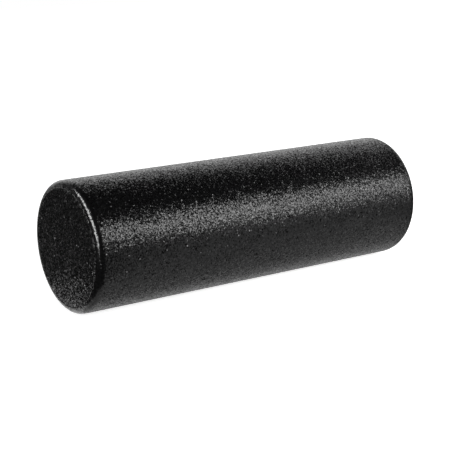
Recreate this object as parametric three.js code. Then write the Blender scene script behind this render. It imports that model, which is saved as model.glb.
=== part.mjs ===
// Massage roller: one solid cylinder of moulded bead foam, with flat ends and rounded rims.
// Millimetres, +Z up. It lies on its side with its axis along X, and the origin is under its
// middle, on the surface that it rests on.
import * as THREE from 'three';

// Driving dimensions of the moulding
const rollerLength = 457; // over the two flat ends
const rollerDiameter = 150; // across the round side
const rimRadius = 8; // rounding where the side turns into each flat end

// How finely the round surfaces are cut into flats
const sideFlats = 64; // flats round the side, a multiple of four
const rimSteps = 8; // steps along each rim's quarter arc

// A rim can't be rounder than the moulding is thick or long.
const sideRadius = rollerDiameter / 2;
const halfLength = rollerLength / 2;
const rim = Math.min(rimRadius, sideRadius, halfLength);

// The middle of each flat touches the true round side, so its edges lie a little outside it.
const halfFlat = Math.PI / sideFlats;
const edgeShare = 1 / Math.cos(halfFlat);

// Quarter arc of one rim in the half section's plane, where x is the distance from the axis
// and y runs along the axis. centreAlong is where the arc's centre lies along the axis.
function rimArc(centreAlong, startAngle) {
  const points = [];
  for (let step = 0; step <= rimSteps; step += 1) {
    const angle = startAngle + (step / rimSteps) * (Math.PI / 2);
    const fromAxis = sideRadius - rim + rim * Math.cos(angle);
    const along = centreAlong + rim * Math.sin(angle);
    points.push(new THREE.Vector2(fromAxis * edgeShare, along));
  }
  return points;
}

// Half section of the moulding, from the middle of one end face, out over its rim, along the
// side and over the other rim to the middle of the other end face. It starts and ends on the
// axis, so that the turned body is closed.
function halfSection() {
  return [
    new THREE.Vector2(0, -halfLength),
    ...rimArc(rim - halfLength, -Math.PI / 2),
    ...rimArc(halfLength - rim, 0),
    new THREE.Vector2(0, halfLength),
  ];
}

// The section is turned from half a flat on, which puts a flat, and not an edge, under the
// roller, and another on top.
function foamMoulding() {
  const geometry = new THREE.LatheGeometry(halfSection(), sideFlats, halfFlat);
  const beadFoam = new THREE.MeshStandardMaterial({
    color: 0x1f1f20,
    roughness: 0.5,
    metalness: 0,
  });
  const moulding = new THREE.Mesh(geometry, beadFoam);
  moulding.name = 'foam_roller';
  return moulding;
}

// The body is turned about Y, so it is laid over to bring its axis along X, and raised until
// its lowest flat lies on the ground.
const massageRoller = new THREE.Group();
const moulding = foamMoulding();
moulding.rotation.z = -Math.PI / 2;
moulding.position.z = sideRadius;
massageRoller.add(moulding);

export default massageRoller;
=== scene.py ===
import math
from itertools import product

import bpy
import numpy as np
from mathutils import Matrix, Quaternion, Vector


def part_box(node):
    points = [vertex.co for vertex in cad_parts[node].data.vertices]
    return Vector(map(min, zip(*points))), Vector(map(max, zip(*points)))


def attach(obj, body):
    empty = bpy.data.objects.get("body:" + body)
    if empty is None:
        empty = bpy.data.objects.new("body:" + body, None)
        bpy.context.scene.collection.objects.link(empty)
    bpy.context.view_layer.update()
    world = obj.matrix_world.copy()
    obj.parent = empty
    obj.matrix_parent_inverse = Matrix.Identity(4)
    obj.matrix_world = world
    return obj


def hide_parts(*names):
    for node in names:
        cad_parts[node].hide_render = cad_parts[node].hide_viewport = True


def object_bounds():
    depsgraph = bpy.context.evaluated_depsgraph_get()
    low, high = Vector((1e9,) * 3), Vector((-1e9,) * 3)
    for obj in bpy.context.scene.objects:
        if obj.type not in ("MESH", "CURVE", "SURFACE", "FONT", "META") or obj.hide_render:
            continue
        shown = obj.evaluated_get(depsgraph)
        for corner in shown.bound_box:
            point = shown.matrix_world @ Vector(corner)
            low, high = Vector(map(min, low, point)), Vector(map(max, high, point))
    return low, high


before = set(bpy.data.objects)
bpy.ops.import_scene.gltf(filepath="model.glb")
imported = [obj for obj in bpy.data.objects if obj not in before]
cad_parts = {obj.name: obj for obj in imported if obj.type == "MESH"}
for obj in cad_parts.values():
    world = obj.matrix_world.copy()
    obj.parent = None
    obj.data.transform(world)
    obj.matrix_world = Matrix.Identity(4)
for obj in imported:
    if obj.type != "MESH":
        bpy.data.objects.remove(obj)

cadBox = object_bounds()
millimetre = 0.001


def linearColour(hexCode):
    # sRGB hex to linear light, with an alpha of 1
    channels = [int(hexCode[i:i + 2], 16) / 255 for i in (1, 3, 5)]
    return [c / 12.92 if c <= 0.04045 else ((c + 0.055) / 1.055) ** 2.4 for c in channels] + [1.0]


def addNode(tree, kind, settings=None, links=None):
    # One node: settings are its own options or the values of its sockets, and links feed its sockets
    node = tree.nodes.new(kind)
    for name, value in (settings or {}).items():
        if isinstance(name, int) or name in node.inputs:
            node.inputs[name].default_value = value
        else:
            setattr(node, name, value)
    for name, source in (links or {}).items():
        tree.links.new(source, node.inputs[name])
    return node


# Roller

roller = {
    "rimRadius": 8 * millimetre,
    "facet": 1.6 * millimetre,       # spacing of the mesh on the surface
    "beadPitch": 3.8 * millimetre,   # size of the fused foam beads
    "grooveDepth": 0.12 * millimetre,
    "grooveWidth": 1.25 * millimetre,
    "pitDepth": 0.2 * millimetre,
    "pitWidth": 1.3 * millimetre,
    "pitShare": 0.22,                # share of the beads whose corners stay open as pits
    "rimRelief": 0.35,               # share of the relief that is left half way round the pressed rims
    "endFading": 16,                 # how soon the mark of a flat end fades out over its rim
}


def scattered(cells, salt):
    # Whole numbers x, y, z and a salt, mixed bit by bit into an even spread from 0 to 1
    mixed = (cells[..., 0] * 73856093) ^ (cells[..., 1] * 19349663) ^ (cells[..., 2] * 83492791)
    mixed = (mixed ^ (salt * 374761393)) & 0xFFFFFFFF
    for shift, factor in ((15, 2246822519), (13, 3266489917)):
        mixed = ((mixed ^ (mixed >> shift)) * factor) & 0xFFFFFFFF
    return ((mixed ^ (mixed >> 16)) & 0xFFFFFF) / 0xFFFFFF


def beadField(points, pitch):
    # Beads are the cells of scattered centres, one in each cube of the pitch. For each point this gives
    # its distances from the three nearest centres, and an even random number of the nearest bead.
    scaled = points / pitch
    home = np.floor(scaled).astype(np.int64)
    distances, tones = [], []
    for offset in product((-1, 0, 1), repeat=3):
        cells = home + np.array(offset)
        centres = cells + np.stack([scattered(cells, salt) for salt in (1, 2, 3)], axis=-1)
        distances.append(np.linalg.norm(scaled - centres, axis=-1))
        tones.append(scattered(cells, 4))
    distances, tones = np.array(distances), np.array(tones)
    nearest = np.argmin(distances, axis=0)
    tone = np.take_along_axis(tones, nearest[None], axis=0)[0]
    return np.sort(np.partition(distances, 2, axis=0)[:3], axis=0) * pitch, tone


def foamRelief(points, pressed):
    # Depth below the mould wall: a groove where a point is as near to two beads, and a pit where it is
    # as near to three, each a bell curve of the difference between those distances
    (first, second, third), tone = beadField(points, roller["beadPitch"])
    groove = np.exp(-((second - first) / roller["grooveWidth"]) ** 2)
    corner = np.exp(-((third - first) / roller["pitWidth"]) ** 2)
    openCorner = corner * (tone < roller["pitShare"])
    depth = roller["grooveDepth"] * groove + roller["pitDepth"] * openCorner
    return depth * pressed, groove, openCorner


def halfSection(half, radius):
    # Down the half section, a quarter arc, a straight line and a quarter arc: the place along the axis,
    # the distance from the axis, and how much of the outward direction points along it
    rim, facet = roller["rimRadius"], roller["facet"]
    quarter = np.linspace(0, math.pi / 2, round(rim * math.pi / 2 / facet) + 1)
    straight = np.linspace(rim - half, half - rim, round(2 * (half - rim) / facet) + 1)[1:-1]
    along = [rim - half - rim * np.cos(quarter), straight, half - rim + rim * np.sin(quarter)]
    fromAxis = [radius - rim + rim * np.sin(quarter), np.full(len(straight), radius),
                radius - rim + rim * np.cos(quarter)]
    facing = [-np.cos(quarter), np.zeros(len(straight)), np.sin(quarter)]
    return np.concatenate(along), np.concatenate(fromAxis), np.concatenate(facing)


def turned(along, fromAxis, around):
    # The half section at even angles round the axis: x is the place along it, and y and z are the
    # distance from it times the cosine and the sine of the angle
    turn = np.arange(around) * 2 * math.pi / around
    x = np.broadcast_to(along[:, None], (len(along), around))
    return np.stack([x, fromAxis[:, None] * np.cos(turn), fromAxis[:, None] * np.sin(turn)], axis=-1)


def endDisc(radius, cells):
    # A square grid from -1 to 1, drawn out to a disc. The larger of a point's two coordinates becomes
    # its distance from the middle, and their ratio its angle, up to an eighth of a turn either way. The
    # border falls on the points of the side's edge, and inside tells which points aren't on it.
    across = np.linspace(-1, 1, cells + 1)
    a, b = np.meshgrid(across, across, indexing="ij")
    wide = np.abs(a) > np.abs(b)
    reach = np.where(wide, a, b)
    lean = np.where(wide, b, a) / np.where(reach == 0, 1, reach)
    angle = np.where(wide, lean, 2 - lean) * math.pi / 4
    inside = np.maximum(np.abs(a), np.abs(b)) < 1 - 0.5 / cells
    return radius * reach * np.cos(angle), radius * reach * np.sin(angle), inside


def smoothRoller(half, radius):
    # The side is the half section turned round the axis, and each end is a disc that closes it. This
    # gives the points about the roller's middle, their outward directions, and the squares between them.
    around = 4 * round(2 * math.pi * radius / roller["facet"] / 4)
    along, fromAxis, facing = halfSection(half, radius)
    points = [turned(along, fromAxis, around).reshape(-1, 3)]
    normals = [turned(facing, np.sqrt(1 - facing ** 2), around).reshape(-1, 3)]
    side = np.arange(len(along) * around).reshape(-1, around)
    after = np.roll(side, -1, axis=1)
    quads = [np.stack([side[1:], after[1:], after[:-1], side[:-1]], axis=-1).reshape(-1, 4)]

    discY, discZ, inside = endDisc(radius - roller["rimRadius"], around // 4)
    column = np.round(np.arctan2(discZ, discY) / (2 * math.pi / around)).astype(int) % around
    count, added = side.size, inside.sum()
    for sign, border in ((-1, side[0]), (1, side[-1])):
        index = border[column]
        index[inside] = count + np.arange(added)
        count += added
        points.append(np.stack([np.full(added, sign * half), discY[inside], discZ[inside]], axis=-1))
        normals.append(np.tile([float(sign), 0.0, 0.0], (added, 1)))
        corners = [index[:-1, :-1], index[1:, :-1], index[1:, 1:], index[:-1, 1:]]
        quads.append(np.stack(corners[::sign], axis=-1).reshape(-1, 4))
    return np.concatenate(points), np.concatenate(normals), np.concatenate(quads)


def rollerSurface(low, high):
    # The smooth roller, pushed in against its outward directions by the depth of the foam's relief. On a
    # rim, bend is the sine of twice the angle of its arc: 0 at both its edges and 1 half way round.
    points, normals, quads = smoothRoller((high.x - low.x) / 2, (high.z - low.z) / 2)
    bend = np.abs(normals[:, 0]) * np.hypot(normals[:, 1], normals[:, 2]) * 2
    pressed = 1 - (1 - roller["rimRelief"]) * bend
    depth, groove, pit = foamRelief(points, pressed)
    flatEnd = np.abs(normals[:, 0]) ** roller["endFading"]
    centre = np.array(((low + high) / 2)[:])
    marks = {"groove": groove, "pit": pit, "rim": bend, "flatEnd": flatEnd}
    return points - normals * depth[:, None] + centre, quads, marks


def meshFromArrays(name, points, quads, attributes):
    # A smooth mesh of squares that carries the attributes, one number at each point
    mesh = bpy.data.meshes.new(name)
    mesh.vertices.add(len(points))
    mesh.vertices.foreach_set("co", points.astype(np.float32).ravel())
    mesh.loops.add(quads.size)
    mesh.loops.foreach_set("vertex_index", quads.astype(np.int32).ravel())
    mesh.polygons.add(len(quads))
    mesh.polygons.foreach_set("loop_start", np.arange(0, quads.size, 4, dtype=np.int32))
    mesh.update(calc_edges=True)
    mesh.validate()
    mesh.shade_smooth()
    for label, values in attributes.items():
        attribute = mesh.attributes.new(label, "FLOAT", "POINT")
        attribute.data.foreach_set("value", values.astype(np.float32))
    piece = bpy.data.objects.new(name, mesh)
    bpy.context.scene.collection.objects.link(piece)
    return piece


blackBeadFoam = {
    "bodyColour": "#0b0b0c",
    "bodyRoughness": 0.29,
    "bodyIOR": 1.49,
    "bodyShine": 0.15,               # Specular IOR Level of the body under the skin
    "skinRoughness": 0.12,
    "skinIOR": 1.45,
    "facet": 1.2 * millimetre,       # one grain of the skin
    "lean": 0.27,                    # how far grains tilt, and how far the steepest of them do
    "steepLean": 1.05,
    "steepFrom": 0.8,                # share of the grains that aren't steep
    "shuffle": (13.1, 27.7, 41.3),   # mixes a grain's three random numbers into one more
    "pebble": 1.4 * millimetre,      # size of the soft dents
    "pebbleHeight": 0.15 * millimetre,
    "paintedShadeTop": 0.42,                  # level of the dents where painted pit shade begins, and where it is full
    "paintedShadeFloor": 0.22,
    # colour of the painted shade in pits, seams and the deepest dents
    "paintedShadeColour": "#040404",
    "seamShadeShare": 0.35,               # how much of the painted pit shade the beads' seams and corners get
    "rimSmoothing": 0.6,             # share of grains, dents and painted pit shade that is pressed out on the rims
    "endCoarsening": 0.4,            # how much stronger they are on the flat ends
    "sheen": 1.7 * millimetre,       # size of the spots where the skin is thicker or thinner
    "sheenRange": (0.25, 0.75),      # levels of the spots at which it is thinnest and thickest
    "thinnest": 0.2,
    "thickest": 1.0,
}


def grainDirection(tree, place, dents, left):
    # Each cell of a Voronoi pattern is one grain. Its random colour, less a half in each channel, is a
    # random direction, which is added to the dented surface's own. A few grains lean much more than the
    # others, and those give the sparkle.
    foam = blackBeadFoam
    grain = addNode(tree, "ShaderNodeTexVoronoi", {"Scale": 1 / foam["facet"]},
                    {"Vector": place}).outputs["Color"]
    lean = addNode(tree, "ShaderNodeVectorMath", {"operation": "SUBTRACT", 1: (0.5, 0.5, 0.5)},
                   {0: grain}).outputs["Vector"]
    mixed = addNode(tree, "ShaderNodeVectorMath", {"operation": "DOT_PRODUCT", 1: foam["shuffle"]},
                    {0: grain}).outputs["Value"]
    chance = addNode(tree, "ShaderNodeMath", {"operation": "FRACT"}, {0: mixed}).outputs["Value"]
    steepness = addNode(tree, "ShaderNodeMapRange",
                        {"From Min": foam["steepFrom"], "From Max": 1.0, "To Min": foam["lean"],
                         "To Max": foam["steepLean"]}, {"Value": chance}).outputs["Result"]
    amount = addNode(tree, "ShaderNodeMath", {"operation": "MULTIPLY"},
                     {0: steepness, 1: left}).outputs["Value"]
    push = addNode(tree, "ShaderNodeVectorMath", {"operation": "SCALE"},
                   {0: lean, "Scale": amount}).outputs["Vector"]
    pushed = addNode(tree, "ShaderNodeVectorMath", {"operation": "ADD"},
                     {0: dents, 1: push}).outputs["Vector"]
    return addNode(tree, "ShaderNodeVectorMath", {"operation": "NORMALIZE"},
                   {0: pushed}).outputs["Vector"]


def paintedPitShade(tree, pebble, left):
    # Painted shade, full in the deepest dents and partial along the beads' seams and in their open
    # corners
    foam = blackBeadFoam
    hollowShade = addNode(tree, "ShaderNodeMapRange",
                     {"interpolation_type": "SMOOTHSTEP", "From Min": foam["paintedShadeTop"],
                      "From Max": foam["paintedShadeFloor"]}, {"Value": pebble}).outputs["Result"]
    groove = addNode(tree, "ShaderNodeAttribute", {"attribute_name": "groove"}).outputs["Fac"]
    openPit = addNode(tree, "ShaderNodeAttribute", {"attribute_name": "pit"}).outputs["Fac"]
    seam = addNode(tree, "ShaderNodeMath", {"operation": "MAXIMUM"},
                   {0: groove, 1: openPit}).outputs["Value"]
    either = addNode(tree, "ShaderNodeMath",
                     {"operation": "MULTIPLY_ADD", "use_clamp": True, 1: foam["seamShadeShare"]},
                     {0: seam, 2: hollowShade}).outputs["Value"]
    return addNode(tree, "ShaderNodeMath", {"operation": "MULTIPLY"},
                   {0: either, 1: left}).outputs["Value"]


def skinCover(tree, place):
    # The skin is thicker and thinner in soft spots
    foam = blackBeadFoam
    low, high = foam["sheenRange"]
    spots = addNode(tree, "ShaderNodeTexNoise", {"Scale": 1 / foam["sheen"], "Detail": 0.0},
                    {"Vector": place}).outputs["Fac"]
    return addNode(tree, "ShaderNodeMapRange",
                   {"From Min": low, "From Max": high, "To Min": foam["thinnest"],
                    "To Max": foam["thickest"]}, {"Value": spots}).outputs["Result"]


def beadFoamMaterial():
    # Expanded polypropylene beads, fused by steam in a polished mould: a black foam under a thin shiny
    # skin. The skin is broken into grains that each face a little differently, which gives the sparkle.
    # Its pits and seams get painted shade, a near-black matte mixed in, so that they catch no light.
    # The real grain is about half a millimetre, too fine to show, so it is drawn at 1.2 mm.
    foam = blackBeadFoam
    material = bpy.data.materials.new("mouldedBlackPolypropyleneBeadFoam")
    material.use_nodes = True
    tree = material.node_tree
    tree.nodes.clear()
    place = addNode(tree, "ShaderNodeTexCoord").outputs["Object"]
    rim = addNode(tree, "ShaderNodeAttribute", {"attribute_name": "rim"}).outputs["Fac"]
    flatEnd = addNode(tree, "ShaderNodeAttribute", {"attribute_name": "flatEnd"}).outputs["Fac"]
    onEnds = addNode(tree, "ShaderNodeMath",
                     {"operation": "MULTIPLY_ADD", 1: foam["endCoarsening"], 2: 1.0},
                     {0: flatEnd}).outputs["Value"]
    left = addNode(tree, "ShaderNodeMath", {"operation": "MULTIPLY_ADD", 1: -foam["rimSmoothing"]},
                   {0: rim, 2: onEnds}).outputs["Value"]
    pebble = addNode(tree, "ShaderNodeTexNoise", {"Scale": 1 / foam["pebble"], "Detail": 0.0},
                     {"Vector": place}).outputs["Fac"]
    dents = addNode(tree, "ShaderNodeBump", {"Distance": foam["pebbleHeight"]},
                    {"Height": pebble, "Strength": left}).outputs["Normal"]
    facing = grainDirection(tree, place, dents, left)
    skin = addNode(tree, "ShaderNodeBsdfPrincipled",
                   {"Base Color": linearColour(foam["bodyColour"]), "Roughness": foam["bodyRoughness"],
                    "IOR": foam["bodyIOR"], "Specular IOR Level": foam["bodyShine"],
                    "Coat Roughness": foam["skinRoughness"], "Coat IOR": foam["skinIOR"]},
                   {"Normal": facing, "Coat Normal": facing, "Coat Weight": skinCover(tree, place)})
    # painted shade: the near-black matte that is mixed in at pits, seams and the deepest dents
    pit = addNode(tree, "ShaderNodeBsdfDiffuse", {"Color": linearColour(foam["paintedShadeColour"])},
                  {"Normal": dents})
    both = addNode(tree, "ShaderNodeMixShader",
                   links={0: paintedPitShade(tree, pebble, left), 1: skin.outputs["BSDF"],
                          2: pit.outputs["BSDF"]})
    addNode(tree, "ShaderNodeOutputMaterial", links={"Surface": both.outputs["Shader"]})
    return material


def makeRoller():
    piece = meshFromArrays("beadFoamRoller", *rollerSurface(*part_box("foam_roller")))
    piece.data.materials.append(beadFoamMaterial())
    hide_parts("foam_roller")
    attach(piece, "root")
    print("roller:", len(piece.data.vertices), "points,", len(piece.data.polygons), "quads")


makeRoller()


# Camera, at the photograph's angle and framing

cameraView = {
    "azimuth": -35.22,
    "elevation": 14.54,
    "depth": 1.4584,          # from the lens to the roller's middle, along the line of sight
    "lens": 96.82,
    "sensor": 36,
    "middleRight": 0.0111,    # the roller's middle lies right of and above the line of sight
    "middleUp": 0.00757,
}


def makeCamera():
    turn, rise = math.radians(cameraView["azimuth"]), math.radians(cameraView["elevation"])
    back = Vector((math.sin(turn) * math.cos(rise), -math.cos(turn) * math.cos(rise), math.sin(rise)))
    right = Vector((math.cos(turn), math.sin(turn), 0))
    up = back.cross(right)
    low, high = cadBox
    data = bpy.data.cameras.new("photoCamera")
    data.lens, data.sensor_width = cameraView["lens"], cameraView["sensor"]
    camera = bpy.data.objects.new("photoCamera", data)
    bpy.context.scene.collection.objects.link(camera)
    camera.location = ((low + high) / 2 + back * cameraView["depth"]
                       - right * cameraView["middleRight"] - up * cameraView["middleUp"])
    camera.rotation_mode = "QUATERNION"
    camera.rotation_quaternion = back.to_track_quat("Z", "Y")
    bpy.context.scene.camera = camera
    print("camera at", [round(c, 4) for c in camera.location])


makeCamera()


# Studio

studio = {
    "floorColour": "#e6e6e6",
    "floorReach": 4.0,
    "floorGlowNear": 0.84,    # what the camera sees added near the roller, where the shadow stays
    "shadowReach": 0.35,      # the shadow stays within this, and the floor is white past whiteReach
    "whiteReach": 1.3,
    "fill": 0.35,             # what the white cove sends back to matte surfaces
}


def flatPiece(name, corners, material):
    mesh = bpy.data.meshes.new(name)
    mesh.from_pydata(corners, [], [range(len(corners))])
    mesh.materials.append(material)
    piece = bpy.data.objects.new(name, mesh)
    bpy.context.scene.collection.objects.link(piece)
    return piece


def seenDirectly(tree):
    # 1 for what the camera, a reflection or a view through glass shows, 0 for light on matte surfaces
    path = addNode(tree, "ShaderNodeLightPath").outputs
    either = addNode(tree, "ShaderNodeMath", {"operation": "MAXIMUM"},
                     {0: path["Is Camera Ray"], 1: path["Is Glossy Ray"]}).outputs["Value"]
    return addNode(tree, "ShaderNodeMath", {"operation": "MAXIMUM"},
                   {0: either, 1: path["Is Transmission Ray"]}).outputs["Value"]


def floorMaterial():
    material = bpy.data.materials.new("paleStudioFloor")
    material.use_nodes = True
    tree = material.node_tree
    tree.nodes.clear()
    place = addNode(tree, "ShaderNodeTexCoord").outputs["Object"]
    away = addNode(tree, "ShaderNodeVectorMath", {"operation": "LENGTH"}, {0: place}).outputs["Value"]
    glow = addNode(tree, "ShaderNodeMapRange",
                   {"From Min": studio["shadowReach"], "From Max": studio["whiteReach"],
                    "To Min": studio["floorGlowNear"], "To Max": 1.0}, {"Value": away}).outputs["Result"]
    strength = addNode(tree, "ShaderNodeMath", {"operation": "MULTIPLY"},
                       {0: glow, 1: seenDirectly(tree)}).outputs["Value"]
    lit = addNode(tree, "ShaderNodeEmission", links={"Strength": strength})
    matte = addNode(tree, "ShaderNodeBsdfDiffuse", {"Color": linearColour(studio["floorColour"])})
    both = addNode(tree, "ShaderNodeAddShader",
                   links={0: matte.outputs["BSDF"], 1: lit.outputs["Emission"]})
    addNode(tree, "ShaderNodeOutputMaterial", links={"Surface": both.outputs["Shader"]})
    return material


def makeFloor():
    r = studio["floorReach"]
    flatPiece("studioFloor", [(-r, -r, 0), (r, -r, 0), (r, r, 0), (-r, r, 0)], floorMaterial())


def makeWorld():
    # A white cove all round
    world = bpy.data.worlds.new("whiteCove")
    bpy.context.scene.world = world
    world.use_nodes = True
    tree = world.node_tree
    tree.nodes.clear()
    level = addNode(tree, "ShaderNodeMapRange", {"To Min": studio["fill"], "To Max": 1.0},
                    {"Value": seenDirectly(tree)}).outputs["Result"]
    back = addNode(tree, "ShaderNodeBackground", {"Color": (1, 1, 1, 1)}, {"Strength": level})
    addNode(tree, "ShaderNodeOutputWorld", links={"Surface": back.outputs["Background"]})


cardRadiance = {
    "greyCardFront": 0.78,
    "greyCardNear": 0.61,
    "greyCardContact": 0.75,
    "greyCardUnder": 0.34,
    "blackCardFront": 0.05,
    "blackCardRight": 0.05,
    "brightCardAtEnd": 1.5,
    "darkCardLeft": 0.06,
    "blackCeiling": 0.02,
    "blackWallFront": 0.05,
    "blackWallLeft": 0.05,
    "blackWallBack": 0.05,
    "blackWallRight": 0.05,
    "brightBackdrop": 1.3,
}


def card(name, corners):
    # A photographer's card, which only reflections see
    material = bpy.data.materials.new(name)
    material.use_nodes = True
    tree = material.node_tree
    tree.nodes.clear()
    lit = addNode(tree, "ShaderNodeEmission", {"Strength": cardRadiance[name]})
    addNode(tree, "ShaderNodeOutputMaterial", links={"Surface": lit.outputs["Emission"]})
    piece = flatPiece(name, corners, material)
    piece.visible_camera = False
    piece.visible_diffuse = False
    piece.visible_shadow = False
    piece.visible_transmission = False


floorPlan = {
    "lift": 0.2 * millimetre,    # height of the cards that lie on the floor
    "left": -2.2,                # x of their outer edges
    "right": 2.15,
    "front": -1.9,               # y of their outer edges
    "back": 3.9,
    "shadeBack": 2.4,            # y where the dark card on the left ends
    "near": -0.075,              # y of the lines between the grey strips under the roller's front
    "contact": -0.036,
    "under": -0.024,
    "stripLeft": -0.25,          # x of the strips' ends
    "stripRight": 0.29,
    "endLeft": -0.243,           # x of the narrow bright card under the near end
    "endRight": -0.215,
    "endBack": 0.135,            # y where it ends, and where the gap behind it ends
    "gapBack": 0.16,
    # the slanting edges of the grey card in front, and the edge of the one behind, from the roller out
    "leftSlant": ((-0.225, -0.092), (-0.165, -0.15), (-0.095, -0.3), (0.08, -0.69), (0.35, -1.3)),
    "rightSlant": ((0.29, -0.09), (0.4, -0.21), (0.5, -0.32), (1.0, -0.75), (1.6, -1.3)),
    "shadeEdge": ((0.29, 0.03), (2.15, 1.55)),
}


def rectangle(x0, x1, y0, y1):
    return [(x0, y0), (x1, y0), (x1, y1), (x0, y1)]


def makeFloorCards(lift, left, right, front, back, shadeBack, near, contact, under, stripLeft,
                   stripRight, endLeft, endRight, endBack, gapBack, leftSlant, rightSlant, shadeEdge):
    # The grey cards draw the lower front of the side, between slanting edges that end at its rims. The
    # black and dark ones keep the rims and ends dark, and the bright one lights the near end's foot.
    slantX, slantY = leftSlant[-1]
    corners = {
        "greyCardFront": [(stripLeft, near), *leftSlant, *reversed(rightSlant), (stripRight, near)],
        "greyCardNear": rectangle(stripLeft, stripRight, near, contact),
        "greyCardContact": rectangle(stripLeft, stripRight, contact, under),
        "greyCardUnder": [(endRight, under), (stripRight, under), *shadeEdge, (right, back),
                          (endRight, back)],
        "blackCardFront": [(stripLeft, under), (left, under), (left, front), (slantX, front),
                           *reversed(leftSlant), (stripLeft, near)],
        "blackCardRight": [*rightSlant, (right, slantY), *reversed(shadeEdge)],
        "brightCardAtEnd": rectangle(endLeft, endRight, under, endBack),
        "darkCardLeft": [(left, under), (endLeft, under), (endLeft, endBack), (endRight, endBack),
                         (endRight, gapBack), (endLeft, gapBack), (endLeft, shadeBack),
                         (left, shadeBack)],
    }
    for name, outline in corners.items():
        card(name, [(x, y, lift) for x, y in outline])


ceiling = {
    "height": 2.2,
    "corners": ((-2.2, -1.9), (4.2, -1.9), (2.75, 0.3), (1.9, 1.5), (1.2, 2.5), (-2.2, 2.5)),
}


def makeCeiling(height, corners):
    # It leaves the back right open, where the side's upper band sees the white cove
    card("blackCeiling", [(x, y, height) for x, y in corners])


walls = {
    "blackWallFront": {"start": (-2.2, -1.9), "end": (4.2, -1.9), "low": 0, "high": 2.2},
    "blackWallLeft": {"start": (-2.2, -1.9), "end": (-2.2, 2.5), "low": 0, "high": 2.2},
    "blackWallBack": {"start": (-2.2, 2.45), "end": (-0.65, 2.45), "low": 0.35, "high": 2.2},
    "blackWallRight": {"start": (2.2, -0.9), "end": (2.2, 1.6), "low": 0, "high": 0.5},
    "brightBackdrop": {"start": (-0.4, 3.8), "end": (4.5, 3.8), "low": 0.6, "high": 1.9},
}


def makeWall(name, start, end, low, high):
    card(name, [(*start, low), (*end, low), (*end, high), (*start, high)])


softboxes = {
    "keyStrip": {"place": (1.02, -1.2, 0.737), "target": (1.02, 0, 0.075), "size": (1.37, 0.6),
                 "radiance": 9.3},
    "keySkirt": {"place": (1.25, -1.25, 0.28), "target": (1.25, 0, 0.2), "size": (1.6, 0.4),
                 "radiance": 1.3},
    "leftBox": {"place": (-1.4, 0.12, 1.0), "target": (0, 0.12, 1.0), "size": (2.4, 0.62),
                "radiance": 17.0, "roll": -38.5, "onMatte": False},
    "leftFill": {"place": (-1.5, 0.1, 0.5), "target": (-0.23, 0, 0.075), "size": (1.0, 1.0),
                 "radiance": 2.0, "onShiny": False},
}


def softbox(name, place, target, size, radiance, roll=0.0, onMatte=True, onShiny=True):
    # A rectangular lamp that faces its target. Its power is its radiance times its area times pi.
    lamp = bpy.data.lights.new(name, "AREA")
    lamp.shape = "RECTANGLE"
    lamp.size, lamp.size_y = size
    lamp.energy = radiance * size[0] * size[1] * math.pi
    piece = bpy.data.objects.new(name, lamp)
    bpy.context.scene.collection.objects.link(piece)
    piece.location = place
    piece.rotation_mode = "QUATERNION"
    facing = (Vector(place) - Vector(target)).to_track_quat("Z", "Y")
    piece.rotation_quaternion = facing @ Quaternion((0, 0, 1), math.radians(roll))
    piece.visible_camera = False
    piece.visible_diffuse = onMatte
    piece.visible_glossy = onShiny


makeFloor()
makeWorld()
makeFloorCards(**floorPlan)
makeCeiling(**ceiling)
for wallName, wall in walls.items():
    makeWall(wallName, **wall)
print("studio: floor, white cove and", len(cardRadiance), "cards")
for boxName, box in softboxes.items():
    softbox(boxName, **box)
print("softboxes:", len(softboxes))

scene = bpy.context.scene
scene.view_settings.view_transform = "Standard"
